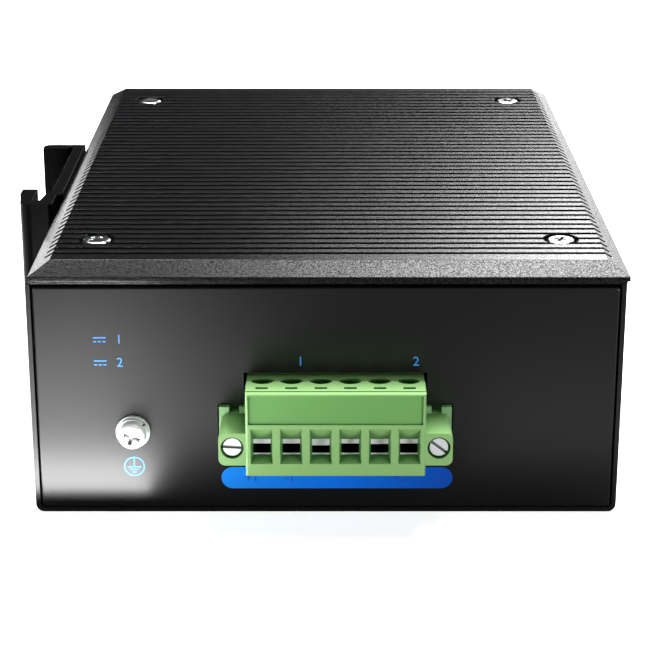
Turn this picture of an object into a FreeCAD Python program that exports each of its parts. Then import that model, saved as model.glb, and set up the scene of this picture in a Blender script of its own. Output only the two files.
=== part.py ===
import FreeCAD, Part
import math
import os

os.makedirs("parts", exist_ok=True)

# A DIN rail ethernet switch lying on the flat side of its case, in millimetres.
# +X points out of the front wall with the network ports, -X out of the rear wall
# with the rail clip, -Y out of the end panel with the power terminal, and +Z out
# of the ribbed cover.  The origin is the centre of the case's flat side.

# ---- driving dimensions -------------------------------------------------------
# case
case_width = 103.9          # rear wall to front wall, outside
case_length = 143.0         # end panel to end panel, outside
wall_height = 42.85         # top edge of the folded walls
sheet = 0.8                 # steel sheet of the case
fold_radius = 1.5           # outside radius of the folds
panel_gap = 0.25            # end panel to side walls
panel_top_gap = 0.5         # end panel to the cover
panel_flange = 8.0          # folded-in edge of an end panel
panel_fold_radius = 0.4     # outside radius round an end panel's face
panel_corner = 0.7
panel_screw_inset = 4.4     # side screws into the end panels, in from the case's ends
panel_screw_lift = 31.0

# ribbed cover
cover_height = 3.5
cover_foot_height = 0.5     # set-back foot that stands on the walls
cover_foot_inset = 0.45     # foot, in from the front edge
cover_foot_inset_end = 0.2
cover_rim = 0.8             # upright edge between the foot and the bevel
cover_rear_inset = 0.45     # rear edge, in from the rear wall
cover_front_lip = 0.55      # front edge, out past the front wall
bevel_side = 3.6
bevel_end = 3.2
groove_pitch = 3.0
groove_width = 1.15
groove_depth = 0.85
end_land = 3.2              # flat strip between the bevel and the first groove
cover_screw_inset_x = 10.4  # screws, in from the cover's sides
cover_screw_inset_y = 15.7  # screws, in from the cover's ends
recess_radius = 3.25
recess_depth = 1.75
pan_head_radius = 2.6       # screw heads, sunk level with the ribs
pan_head_height = 1.7
pan_head_round = 0.55
pan_recess_width = 3.0
pan_recess_depth = 1.0
pan_recess_turns = (35, 10, -25, 30)   # degrees

# M3 countersunk screw and pressed-in nut
screw_radius = 1.5
screw_head_radius = 3.0
screw_head_height = 0.75
screw_clearance = 0.2
screw_recess_width = 3.2
screw_recess_depth = 0.6
cover_screw_grip = 6.0      # thread inside the piece that it holds
base_screw_grip = 5.0
panel_screw_grip = 2.0
clip_screw_grip = 3.0
thread_play = 0.02
nut_flats = 5.5
nut_height = 2.4

# circuit board and its supports
standoff_height = 8.75
board_thick = 1.6
board_gap = 0.5             # board edge to the nearest metal
pillar_flats = 6.0          # across flats of standoffs and pillars
pillar_bore_depth = 9.0
stud_reach = 1.6            # pillar's stud, down past the board
stud_play = 0.05

# power terminal
pole_count = 6
pole_pitch = 5.08
terminal_x = 1.65
plug_margin = 0.25          # plug side wall past the outer pole pitch
plug_height = 15.0
plug_above_board = 0.4
plug_front = 10.5           # wire side of the plug, out from the end panel
plug_back = 1.8             # upper body of the plug, in from the end panel
plug_corner = 0.5
nose_back = 8.0             # plug nose, in from the end panel
nose_inset = 0.44           # plug nose, in from the plug's side walls
flange_end = 2.37           # flange past its screw's axis
flange_screw_lift = 5.5     # flange screw axis above the board
flange_low = 2.25           # flange's lower face above the board
flange_high = 8.2           # flange's upper face above the board
flange_setback = 0.2        # flange's face behind the plug's
flange_round = 1.2
header_height = 9.4
header_front = 1.0          # header rim, out from the end panel
header_depth = 12.0
header_overhang = 0.3       # end blocks, out past the plug's flanges
header_wall = 1.1
header_nut_depth = 7.0
header_notch_width = 1.8    # notch in the top of each end block
header_notch_height = 1.25
header_notch_depth = 3.0
plug_fit = 0.1              # plug nose in the header
mouth_width = 3.8
mouth_low = 2.6             # wire mouth's lower edge above the board
mouth_high = 9.1
mouth_depth = 2.4
throat_width = 3.0
throat_low = 3.4
throat_high = 6.3
label_margin = 0.5          # label field, in from the plug's sides
label_above_mouth = 0.75
label_below_top = 0.3
label_depth = 0.4
top_step_drop = 0.45        # lower back part of the plug's top
top_step_front = 4.0        # where it starts, out from the end panel
top_groove_in = 1.35        # groove along the plug's front edge
top_groove_width = 0.4
top_groove_depth = 0.3
test_slot_length = 2.1      # test slot in front of each screw hole
test_slot_width = 0.85
test_slot_in = 2.8
test_slot_depth = 1.2
screw_hole_radius = 2.1
screw_hole_out = 3.25       # clamp screw axis, out from the end panel

# clamp cage and screw of each pole
clamp_drop = (0.0, 0.0, 0.35, 0.0, 0.1, 0.0)
clamp_half = 1.95
clamp_play = 0.15
clamp_low = 2.9             # clamp above the board
clamp_high = 8.2
clamp_side = 0.4            # thickness of its sides, floor and roof
clamp_floor = 0.7
clamp_roof = 2.8
chamber_depth = 6.9
clamp_head_play = 0.15
clamp_head_height = 2.0
clamp_screw_radius = 1.2
clamp_screw_reach = 2.2
clamp_hole_play = 0.05
clamp_slot_width = 0.6
clamp_slot_depth = 0.8
clamp_slot_first_turn = 25  # degrees
clamp_slot_turn_step = 40

# flange screws
flange_head_radius = 1.62
flange_head_height = 0.9
flange_head_in = 0.7        # head, in from the plug's face
flange_pocket_play = 0.35
flange_slot_cut_width = 0.5
flange_slot_cut_depth = 0.55
flange_slot_turns = (-4, -37)   # degrees
opening_play = 0.6          # panel cut-out beside the terminal
opening_top_play = 0.05     # panel cut-out above the terminal

# header pins
pin_side = 1.0
pin_low = 4.6               # above the board
pin_tip_in = 1.0            # in from the end panel
pin_bend_out = 0.5          # down leg, behind the header
pin_fit = 0.02
pin_play = 0.3              # contact slot in the plug around the pin

# earth screw on the end panel
earth_from_rear = 17.85
earth_lift = 15.6
earth_washer_radius = 3.0
earth_washer_thick = 0.6
earth_spring_radius = 2.75
earth_spring_thick = 0.9
earth_split_width = 0.4
earth_split_turn = -40      # degrees
earth_head_radius = 2.45
earth_head_height = 1.7
earth_head_round = 0.93
earth_recess_width = 2.94
earth_recess_depth = 1.1
earth_recess_turn = -20     # degrees
earth_thread_radius = 1.5
earth_thread_length = 8.0

# rail clip
clip_lift = 1.6
clip_over_wall = 1.9        # clip's top end, above the walls' edge
clip_center_y = -0.5        # middle of the rail
clip_plate = 2.25
clip_bevel = 0.9
rail_width = 35.0
rail_thick = 1.0
rail_play = 0.3
far_arm = 8.7               # far arm, out from the rear wall
far_arm_thick = 3.4
far_groove = 1.0
near_step = 1.1             # outward jog of the plate at the near hook
step_run = 0.9              # along the wall, from the rail's edge to the jog's inner corner
step_rise = 0.8
step_heel = 1.1
step_relief = 0.2
throat_rise = 0.4
hook_reach = 8.25           # outer face of the near hook, out from the rear wall
hook_inner = 5.2
hook_depth = 8.1            # throat of the near hook
hook_floor = 2.9
hook_overlap = 1.6          # hook tip past the rail edge
hook_taper = 0.75           # the hook's outer face leans in by this
hook_taper_run = 4.45       # over this length, up from the throat
hook_round = 2.3
heel_round = 0.9
tip_round = 0.5
clip_screw_above_board = 7.2
clip_screw_below_edge = 4.5

# network ports
jack_columns = 4
jack_pitch = 14.0
jack_width = 11.8
jack_height = 7.2
jack_depth = 14.0
jack_row_gap = 4.6          # web between the two rows of sockets
jack_roof = 0.7             # above and below the key notches
jack_block_depth = 26.0
jack_block_side = 1.0       # housing past the outer sockets
latch_width = 6.2
latch_height = 1.5
key_width = 3.4
key_height = 1.2
jack_skin = 0.3             # sheet shield around the housing
jack_proud = 0.3            # shield front, out from the front wall
contact_count = 8
contact_pitch = 1.02
contact_width = 0.35
contact_thick = 0.45
contact_length = 9.5
contact_lift = 0.02
port_play = 0.25            # wall cut-outs around ports

# cages for optical modules
cage_count = 2
cage_width = 14.4
cage_height = 9.9
cage_depth = 47.0
cage_wall = 0.4
cage_gap = 1.2
cage_lift = 0.3
foot_width = 1.2
foot_back_in = 2.0
foot_front_in = 9.0
foot_overlap = 0.1
connector_depth = 7.0
connector_width = 11.2
connector_height = 6.2
connector_back_gap = 0.05
card_slot_width = 9.8
card_slot_height = 1.4
card_slot_lift = 2.5
card_slot_in = 2.5

# status lights, one above the other
light_count = 8
light_pitch = 3.1
light_above_board = 3.2     # lowest light
light_radius = 1.0
light_play = 0.1
light_proud = 0.4
light_bend_in = 6.0         # lowest light's fold, in from the front wall
light_bend_step = 2.9
light_bevel_drop = 1.4      # mirror bevel of the fold
lamp_length = 1.6
lamp_width = 1.2
lamp_height = 0.9
lamp_gap = 0.3

# heat path from the switch chip to the cover
chip_y = 12.0
chip_side = 24.0
chip_height = 1.6
pad_thick = 0.8
block_side = 28.0
block_gap = 1.25            # heat block to the piece in front of it
block_chamfer = 0.8

# parts on the board
transformer_length = 15.0
transformer_width = 12.0
transformer_height = 6.0
transformer_gap = 2.15      # behind the network ports
capacitor_count = 3
capacitor_radius = 6.25
capacitor_height = 20.0
capacitor_pitch = 13.5
capacitor_edge_gap = 4.65   # in from the board's rear edge
capacitor_pillar_gap = 3.05
capacitor_crown = 0.6
capacitor_groove_lift = 3.5
capacitor_groove_radius = 0.7
capacitor_groove_out = 0.2
inductor_count = 2
inductor_side = 12.5
inductor_height = 8.0
inductor_pitch = 14.5
inductor_chamfer = 1.8
inductor_gap = 11.25        # behind the transformers
inductor_header_gap = 9.5   # behind the terminal header
fuse_length = 8.5
fuse_width = 4.0
fuse_height = 4.2
fuse_gap = 2.0
power_edge_gap = 6.9        # in from the board's rear edge
power_pillar_gap = 5.2
power_count = 3
power_pitch = 9.0
power_length = 6.1
power_width = 6.6
power_height = 2.3
power_tab_length = 1.4
power_tab_width = 5.4
power_tab_height = 0.6
controller_side = 9.0
controller_height = 1.0
controller_gap = 5.0
crystal_length = 5.0
crystal_width = 3.2
crystal_height = 1.2
crystal_round = 0.5
crystal_shift_x = 6.5       # from the middle of the switch chip
crystal_shift_y = 17.6

# how far a cutting tool runs past the face that it cuts
run_past = 1.0
hair = 0.01

# ---- derived places ------------------------------------------------------------
half_width = case_width / 2
half_length = case_length / 2
front_face = half_width
rear_face = -half_width
near_face = -half_length
far_face = half_length
board_low = sheet + standoff_height
board_top = board_low + board_thick
board_half_x = half_width - 2 * sheet - panel_gap - board_gap
board_half_y = half_length - sheet - board_gap
cover_top = wall_height + cover_height
cover_rear = rear_face + cover_rear_inset
cover_front = front_face + cover_front_lip
cover_screws_x = (cover_rear + cover_screw_inset_x, cover_front - cover_screw_inset_x)
cover_screws_y = (near_face + cover_screw_inset_y, far_face - cover_screw_inset_y)
flange_spacing = pole_pitch * (pole_count + 1)
flange_half = flange_spacing / 2 + flange_end
plug_half = pole_pitch * pole_count / 2 + plug_margin
plug_face = near_face - plug_front
plug_low = board_top + plug_above_board
plug_top = plug_low + plug_height
header_rim = near_face - header_front
header_back = header_rim + header_depth
earth_x = rear_face + earth_from_rear
earth_seat = near_face - earth_washer_thick - earth_spring_thick
port_front = front_face + jack_proud
jack_floor_low = board_top + jack_roof + key_height + latch_height
jack_floor_high = jack_floor_low + jack_height + jack_row_gap
jack_block_top = jack_floor_high + jack_height + latch_height + key_height + jack_roof
jack_half = (jack_columns - 1) * jack_pitch / 2 + jack_width / 2 + jack_block_side + jack_skin
jack_back = port_front - jack_block_depth - 2 * jack_skin
cages_half = (cage_count * cage_width + (cage_count - 1) * cage_gap) / 2
cage_back = port_front - cage_depth

# lights, jacks and cages share the front wall between the two pillars, with equal gaps
wall_start = cover_screws_y[0] + pillar_flats / 2
wall_end = cover_screws_y[1] - pillar_flats / 2
wall_gap = (wall_end - wall_start - 2 * (light_radius + jack_half + cages_half)) / 4
light_y = wall_start + wall_gap + light_radius
jack_center_y = light_y + light_radius + wall_gap + jack_half
cage_center_y = jack_center_y + jack_half + wall_gap + cages_half

transformer_back = jack_back - transformer_gap - transformer_length
chip_x = min(cage_back, transformer_back) - block_gap - block_side / 2
inductor_x = transformer_back - inductor_gap - inductor_side / 2
inductor_first_y = header_back + inductor_header_gap + inductor_side / 2


def box(x0, x1, y0, y1, z0, z1):
    """Upright box between two corners."""
    return Part.makeBox(x1 - x0, y1 - y0, z1 - z0, FreeCAD.Vector(x0, y0, z0))


def cylinder(radius, length, x, y, z, direction):
    return Part.makeCylinder(radius, length, FreeCAD.Vector(x, y, z), FreeCAD.Vector(*direction))


def polygon_prism(points, direction):
    """Prism from a closed outline of points swept along a vector."""
    wire = Part.makePolygon([FreeCAD.Vector(*point) for point in points + points[:1]])
    return Part.Face(wire).extrude(FreeCAD.Vector(*direction))


def hex_prism(flats, x, y, z0, z1):
    corner = flats / math.sqrt(3)
    points = []
    for step in range(6):
        angle = math.radians(60 * step)
        points.append((x + corner * math.cos(angle), y + corner * math.sin(angle), z0))
    return polygon_prism(points, (0, 0, z1 - z0))


def fuse(shapes):
    result = shapes[0]
    for shape in shapes[1:]:
        result = result.fuse(shape)
    return result.removeSplitter()


def cut_all(body, tools):
    return body.cut(Part.makeCompound(tools)).removeSplitter()


def edges_where(shape, test):
    return [edge for edge in shape.Edges if test(edge)]


def runs_along(edge, axis):
    """True for a straight edge parallel to the axis index."""
    if len(edge.Vertexes) != 2:
        return False
    start = edge.Vertexes[0].Point
    end = edge.Vertexes[1].Point
    step = end - start
    parts = [abs(step.x), abs(step.y), abs(step.z)]
    return parts[axis] > 0.01 and sum(parts) - parts[axis] < 1e-6


def slot_cut(length, width, depth, turn, origin, target):
    """Screwdriver slot cut down from z = 0, turned about its axis, then aimed as turned() does."""
    slot = box(-length / 2, length / 2, -width / 2, width / 2, -depth, run_past)
    slot.rotate(FreeCAD.Vector(0, 0, 0), FreeCAD.Vector(0, 0, 1), turn)
    rotation = FreeCAD.Rotation(FreeCAD.Vector(0, 0, 1), FreeCAD.Vector(*target))
    slot.Placement = FreeCAD.Placement(FreeCAD.Vector(*origin), rotation).multiply(slot.Placement)
    return slot


def save(name, shapes):
    """Write one node: a solid, or a group of separate equal solids."""
    shape = shapes if isinstance(shapes, Part.Shape) else Part.makeCompound(shapes)
    shape.exportStep("parts/" + name + ".step")


def turned(shape, origin, target):
    """Turn a shape modelled along +Z at the world origin so that +Z meets target, and move it."""
    placed = shape.copy()
    rotation = FreeCAD.Rotation(FreeCAD.Vector(0, 0, 1), FreeCAD.Vector(*target))
    placed.Placement = FreeCAD.Placement(FreeCAD.Vector(*origin), rotation)
    return placed


# ---- standard parts --------------------------------------------------------------
def cross_recess(width, depth):
    """Tool for a cross recess, cut down from z = 0."""
    half = width / 2
    arm = width / 8
    return fuse([box(-half, half, -arm, arm, -depth, hair), box(-arm, arm, -half, half, -depth, hair)])


def pan_head_screw(head, recess, thread, turn):
    """Cross-recessed screw: pan head above z = 0, shank below it."""
    radius, height, rounding = head
    body = cylinder(radius, height, 0, 0, 0, (0, 0, 1))
    body = body.makeFillet(rounding, edges_where(body, lambda edge: edge.BoundBox.ZMin > height - hair))
    shank = cylinder(*thread, 0, 0, 0, (0, 0, -1))
    tool = cross_recess(*recess)
    tool.rotate(FreeCAD.Vector(0, 0, 0), FreeCAD.Vector(0, 0, 1), turn)
    tool.translate(FreeCAD.Vector(0, 0, height))
    return fuse([body, shank]).cut(tool)


def countersunk_screw(length):
    """Cross-recessed countersunk screw, its flat head at z = 0 and its shank down -Z."""
    head = Part.makeCone(screw_radius, screw_head_radius, screw_head_height,
                         FreeCAD.Vector(0, 0, -screw_head_height))
    shank = cylinder(screw_radius, length, 0, 0, -length, (0, 0, 1))
    return fuse([head, shank]).cut(cross_recess(screw_recess_width, screw_recess_depth))


def countersink_tool(depth):
    """Clearance hole for a countersunk screw whose head lies flush at z = 0."""
    play = screw_clearance / 2
    head = Part.makeCone(screw_radius + play, screw_head_radius + play, screw_head_height,
                         FreeCAD.Vector(0, 0, -screw_head_height))
    mouth = cylinder(screw_head_radius + play, run_past, 0, 0, 0, (0, 0, 1))
    hole = cylinder(screw_radius + play, depth, 0, 0, -depth, (0, 0, 1))
    return fuse([head, mouth, hole])


# ---- ribbed cover --------------------------------------------------------------
def cover_screw_places():
    return [(x, y) for x in cover_screws_x for y in cover_screws_y]


def cover_outline(rear_inset, front_inset, end_inset, z):
    x0 = cover_rear + rear_inset
    x1 = cover_front - front_inset
    y = half_length - end_inset
    corners = [(x0, -y, z), (x1, -y, z), (x1, y, z), (x0, y, z), (x0, -y, z)]
    return Part.makePolygon([FreeCAD.Vector(*corner) for corner in corners])


def heat_sink_cover():
    """Thick bevelled plate with a row of grooves that run out on its side bevels."""
    rim_low = wall_height + cover_foot_height
    rim_high = rim_low + cover_rim
    foot = Part.Face(cover_outline(0, cover_foot_inset, cover_foot_inset_end, wall_height))
    rim = Part.Face(cover_outline(0, 0, 0, rim_low))
    bevel = Part.makeLoft([cover_outline(0, 0, 0, rim_high),
                           cover_outline(bevel_side, bevel_side, bevel_end, cover_top)], True, True)
    plate = fuse([foot.extrude(FreeCAD.Vector(0, 0, cover_foot_height)),
                  rim.extrude(FreeCAD.Vector(0, 0, cover_rim)), bevel])
    ribbed_half = half_length - bevel_end - end_land
    count = int(2 * ribbed_half / groove_pitch) + 1
    grooves = []
    for index in range(count):
        y = groove_pitch * (index - (count - 1) / 2)
        grooves.append(box(cover_rear - run_past, cover_front + run_past,
                           y - groove_width / 2, y + groove_width / 2,
                           cover_top - groove_depth, cover_top + run_past))
    plate = plate.cut(Part.makeCompound(grooves))
    holes = []
    seat = cover_top - recess_depth
    for x, y in cover_screw_places():
        holes.append(cylinder(recess_radius, recess_depth + run_past, x, y, seat, (0, 0, 1)))
        holes.append(cylinder(screw_radius + screw_clearance / 2, cover_height,
                              x, y, wall_height - run_past, (0, 0, 1)))
    return cut_all(plate, holes)


def cover_screws():
    """Screws through the cover into the pillars."""
    head = (pan_head_radius, pan_head_height, pan_head_round)
    recess = (pan_recess_width, pan_recess_depth)
    thread = (screw_radius, cover_height - recess_depth + cover_screw_grip)
    screws = []
    for (x, y), turn in zip(cover_screw_places(), pan_recess_turns):
        seat = (x, y, cover_top - recess_depth)
        screws.append(turned(pan_head_screw(head, recess, thread, turn), seat, (0, 0, 1)))
    return screws


# ---- folded case ------------------------------------------------------------------
def cage_places():
    step = cage_width + cage_gap
    return [cage_center_y + (index - (cage_count - 1) / 2) * step for index in range(cage_count)]


def light_heights():
    return [board_top + light_above_board + index * light_pitch for index in range(light_count)]


def clip_screw_places():
    heights = (board_top + clip_screw_above_board, wall_height - clip_screw_below_edge)
    return [(clip_center_y, z) for z in heights]


def panel_screw_places():
    """Screws through the two side walls into the end panels' folded edges."""
    places = []
    for side in (-1, 1):
        for end in (-1, 1):
            places.append((side, end * (half_length - panel_screw_inset), panel_screw_lift))
    return places


def case_chassis():
    """Rear wall, flat side and front wall, folded from one sheet."""
    outer = box(rear_face, front_face, near_face, far_face, 0, wall_height)
    folds = edges_where(outer, lambda edge: runs_along(edge, 1) and edge.BoundBox.ZMax < hair)
    outer = outer.makeFillet(fold_radius, folds)
    inner = box(rear_face + sheet, front_face - sheet, near_face - run_past, far_face + run_past,
                sheet, wall_height + run_past)
    folds = edges_where(inner, lambda edge: runs_along(edge, 1) and edge.BoundBox.ZMax < sheet + hair)
    inner = inner.makeFillet(fold_radius - sheet, folds)
    tools = [inner]
    x0 = front_face - sheet - run_past
    x1 = front_face + run_past
    half = jack_half + port_play
    tools.append(box(x0, x1, jack_center_y - half, jack_center_y + half,
                     board_top - port_play, jack_block_top + jack_skin + port_play))
    half = cage_width / 2 + port_play
    low = board_top + cage_lift
    for y in cage_places():
        tools.append(box(x0, x1, y - half, y + half, low - port_play, low + cage_height + port_play))
    for z in light_heights():
        tools.append(cylinder(light_radius + light_play, x1 - x0, x0, light_y, z, (1, 0, 0)))
    for x, y in cover_screw_places():
        tools.append(turned(countersink_tool(sheet + run_past), (x, y, 0), (0, 0, -1)))
    for y, z in clip_screw_places():
        tools.append(cylinder(screw_radius + screw_clearance / 2, sheet + 2 * run_past,
                              rear_face - run_past, y, z, (1, 0, 0)))
    for side, y, z in panel_screw_places():
        tools.append(turned(countersink_tool(sheet + run_past), (side * half_width, y, z), (side, 0, 0)))
    return cut_all(outer, tools)


def base_screws():
    """Screws through the flat side into the standoffs."""
    length = sheet + base_screw_grip
    return [turned(countersunk_screw(length), (x, y, 0), (0, 0, -1)) for x, y in cover_screw_places()]


def panel_screws():
    length = 2 * sheet + panel_screw_grip
    screws = []
    for side, y, z in panel_screw_places():
        screws.append(turned(countersunk_screw(length), (side * half_width, y, z), (side, 0, 0)))
    return screws


def end_panel():
    """Blank end panel at the -Y end, a tray with its four edges folded inwards."""
    half = half_width - sheet - panel_gap
    top = wall_height - panel_top_gap
    outer = box(-half, half, near_face, near_face + panel_flange, sheet, top)
    outer = outer.makeFillet(panel_corner, edges_where(outer, lambda edge: runs_along(edge, 1)))
    rim = edges_where(outer, lambda edge: edge.BoundBox.YMax < near_face + hair)
    outer = outer.makeFillet(panel_fold_radius, rim)
    inner = box(-half + sheet, half - sheet, near_face + sheet, near_face + panel_flange + run_past,
                2 * sheet, top - sheet)
    tools = [inner]
    for side, y, z in panel_screw_places():
        if y < 0:
            tools.append(cylinder(screw_radius + screw_clearance / 2, sheet + 2 * run_past,
                                  side * (half + run_past), y, z, (-side, 0, 0)))
    return cut_all(outer, tools)


def terminal_panel():
    """End panel with the stepped opening for the power terminal and the earth screw's hole."""
    y0 = near_face - run_past
    y1 = near_face + sheet + run_past
    half = flange_half + opening_play
    flanges = box(terminal_x - half, terminal_x + half, y0, y1,
                  board_top - opening_play, board_top + header_height + opening_top_play)
    half = plug_half + opening_play
    body = box(terminal_x - half, terminal_x + half, y0, y1, board_top, plug_top + opening_top_play)
    radius = earth_thread_radius + screw_clearance / 2
    earth = cylinder(radius, y1 - y0, earth_x, y0, earth_lift, (0, 1, 0))
    return cut_all(end_panel(), [flanges, body, earth])


def blank_panel():
    return end_panel().mirror(FreeCAD.Vector(0, 0, 0), FreeCAD.Vector(0, 1, 0))


# ---- earth screw -------------------------------------------------------------------
def earth_ring(radius, y0, y1):
    """Washer around the earth screw's thread."""
    disc = cylinder(radius, y1 - y0, earth_x, y0, earth_lift, (0, 1, 0))
    bore = cylinder(earth_thread_radius + screw_clearance / 2, y1 - y0, earth_x, y0, earth_lift, (0, 1, 0))
    return disc.cut(bore)


def earth_flat_washer():
    return earth_ring(earth_washer_radius, near_face - earth_washer_thick, near_face)


def earth_spring_washer():
    """Split ring: a slanted slot parts it at the top right."""
    ring = earth_ring(earth_spring_radius, earth_seat, near_face - earth_washer_thick)
    split = box(0, earth_spring_radius + run_past, -earth_spring_thick, 2 * earth_spring_thick,
                -earth_split_width / 2, earth_split_width / 2)
    split.Placement = FreeCAD.Placement(FreeCAD.Vector(earth_x, earth_seat, earth_lift),
                                        FreeCAD.Rotation(FreeCAD.Vector(0, 1, 0), earth_split_turn))
    return ring.cut(split)


def earth_screw():
    """Pan-head cross-recessed screw through both washers."""
    head = (earth_head_radius, earth_head_height, earth_head_round)
    recess = (earth_recess_width, earth_recess_depth)
    thread = (earth_thread_radius, earth_thread_length)
    screw = pan_head_screw(head, recess, thread, earth_recess_turn)
    return turned(screw, (earth_x, earth_seat, earth_lift), (0, -1, 0))


def pressed_nut(thread_radius, origin, target):
    nut = hex_prism(nut_flats, 0, 0, 0, nut_height)
    nut = nut.cut(cylinder(thread_radius + thread_play, nut_height, 0, 0, 0, (0, 0, 1)))
    return turned(nut, origin, target)


def earth_nut():
    """Pressed-in nut behind the panel that the earth screw threads into."""
    return pressed_nut(earth_thread_radius, (earth_x, near_face + sheet, earth_lift), (0, 1, 0))


# ---- rail clip ---------------------------------------------------------------------
def din_rail_clip():
    """One extruded profile: plate, far arm with a groove and near hook, swept along Z."""
    far_edge = clip_center_y + (rail_width + rail_play) / 2
    near_edge = clip_center_y - (rail_width + rail_play) / 2
    arm_low = far_edge - far_groove
    arm_high = arm_low + far_arm_thick
    groove_out = clip_plate + rail_thick + rail_play
    tip = near_edge + hook_overlap
    throat = tip - hook_depth
    bottom = throat - hook_floor
    step_y = near_edge - step_run
    hook_root = hook_reach - hook_taper
    # outline as distances out from the rear wall and along it
    outline = [
        (0, arm_high), (far_arm - clip_bevel, arm_high), (far_arm, arm_high - clip_bevel),
        (far_arm, arm_low), (groove_out, arm_low), (groove_out, far_edge),
        (clip_plate, far_edge), (clip_plate, near_edge),
        (clip_plate + step_rise, step_y), (clip_plate + near_step + throat_rise, throat),
        (hook_inner, throat), (hook_inner, tip), (hook_reach, tip), (hook_reach, throat + hook_taper_run),
        (hook_root, throat), (hook_root, bottom), (near_step, bottom), (near_step, step_y - step_heel),
        (0, near_edge - step_relief),
    ]
    clip_low = clip_lift
    clip_high = wall_height + clip_over_wall
    points = [(rear_face - out, y, clip_low) for out, y in outline]
    clip = polygon_prism(points, (0, 0, clip_high - clip_low))

    def upright_at(out, y):
        x = rear_face - out
        return edges_where(clip, lambda edge: runs_along(edge, 2) and abs(edge.BoundBox.XMin - x) < hair
                           and abs(edge.BoundBox.YMin - y) < hair)

    clip = clip.makeFillet(hook_round, upright_at(hook_root, bottom))
    clip = clip.makeFillet(heel_round, upright_at(near_step, bottom))
    clip = clip.makeFillet(tip_round, upright_at(hook_inner, tip) + upright_at(hook_reach, tip))
    hole = countersink_tool(clip_plate + run_past)
    holes = [turned(hole, (rear_face - clip_plate, y, z), (-1, 0, 0)) for y, z in clip_screw_places()]
    return cut_all(clip, holes)


def clip_screws():
    length = clip_plate + sheet + clip_screw_grip
    return [turned(countersunk_screw(length), (rear_face - clip_plate, y, z), (-1, 0, 0))
            for y, z in clip_screw_places()]


def clip_nuts():
    """Pressed-in nuts inside the rear wall that the clip's screws thread into."""
    return [pressed_nut(screw_radius, (rear_face + sheet, y, z), (1, 0, 0)) for y, z in clip_screw_places()]


# ---- circuit board and supports -------------------------------------------------------
def circuit_board():
    board = box(-board_half_x, board_half_x, -board_half_y, board_half_y, board_low, board_top)
    holes = []
    for x, y in cover_screw_places():
        holes.append(cylinder(screw_radius + screw_clearance / 2, board_thick, x, y, board_low, (0, 0, 1)))
    return cut_all(board, holes)


def board_standoffs():
    bore = screw_radius + thread_play
    posts = []
    for x, y in cover_screw_places():
        post = hex_prism(pillar_flats, x, y, sheet, board_low)
        posts.append(post.cut(cylinder(bore, standoff_height, x, y, sheet, (0, 0, 1))))
    return posts


def cover_pillars():
    """Hexagonal posts from the board up to the cover, each with a stud down through the board."""
    bore = screw_radius + thread_play
    length = board_thick + stud_reach
    pillars = []
    for x, y in cover_screw_places():
        post = hex_prism(pillar_flats, x, y, board_top, wall_height)
        post = post.cut(cylinder(bore, pillar_bore_depth, x, y, wall_height - pillar_bore_depth, (0, 0, 1)))
        stud = cylinder(screw_radius - stud_play, length, x, y, board_top - length, (0, 0, 1))
        pillars.append(fuse([post, stud]))
    return pillars


# ---- power terminal --------------------------------------------------------------------
def pole_places():
    return [terminal_x + (index - (pole_count - 1) / 2) * pole_pitch for index in range(pole_count)]


def flange_places():
    return [terminal_x - flange_spacing / 2, terminal_x + flange_spacing / 2]


def rectangle_wire(x, half_x, y, z0, z1):
    x0 = x - half_x
    x1 = x + half_x
    corners = [(x0, y, z0), (x1, y, z0), (x1, y, z1), (x0, y, z1), (x0, y, z0)]
    return Part.makePolygon([FreeCAD.Vector(*corner) for corner in corners])


def wire_mouth(x):
    """Tapered mouth of one pole, from the plug's face down to the clamp's throat."""
    mouth = rectangle_wire(x, mouth_width / 2, plug_face - hair,
                           board_top + mouth_low, board_top + mouth_high)
    throat = rectangle_wire(x, throat_width / 2, plug_face + mouth_depth,
                            board_top + throat_low, board_top + throat_high)
    return Part.makeLoft([mouth, throat], True, True)


def across_plug(margin, y0, y1, z0, z1):
    """Box over the plug's whole width, less a margin at each side."""
    half = plug_half - margin
    return box(terminal_x - half, terminal_x + half, y0, y1, z0, z1)


def pole_tools(x):
    """Mouth, clamp chamber, screw hole, test slot and contact slot of one pole."""
    half = clamp_half + clamp_play
    inner = plug_face + mouth_depth - hair
    slot_front = plug_face + test_slot_in
    pin_half = pin_side / 2 + pin_play
    return [
        wire_mouth(x),
        box(x - half, x + half, inner, inner + chamber_depth,
            board_top + clamp_low - clamp_play, board_top + clamp_high + clamp_play),
        cylinder(screw_hole_radius, plug_height, x, near_face - screw_hole_out,
                 board_top + clamp_high, (0, 0, 1)),
        box(x - test_slot_length / 2, x + test_slot_length / 2, slot_front, slot_front + test_slot_width,
            plug_top - test_slot_depth, plug_top + run_past),
        box(x - pin_half, x + pin_half, inner + chamber_depth - hair, near_face + nose_back + run_past,
            board_top + pin_low - pin_play, board_top + pin_low + pin_side + pin_play),
    ]


def flange_tools(x):
    """Screw hole and head pocket of one flange."""
    z = board_top + flange_screw_lift
    start = plug_face - run_past
    hole = (clamp_screw_radius + clamp_hole_play, plug_front + 2 * run_past)
    pocket = (flange_head_radius + flange_pocket_play, flange_head_in + flange_head_height + run_past)
    return [cylinder(*hole, x, start, z, (0, 1, 0)), cylinder(*pocket, x, start, z, (0, 1, 0))]


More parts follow.
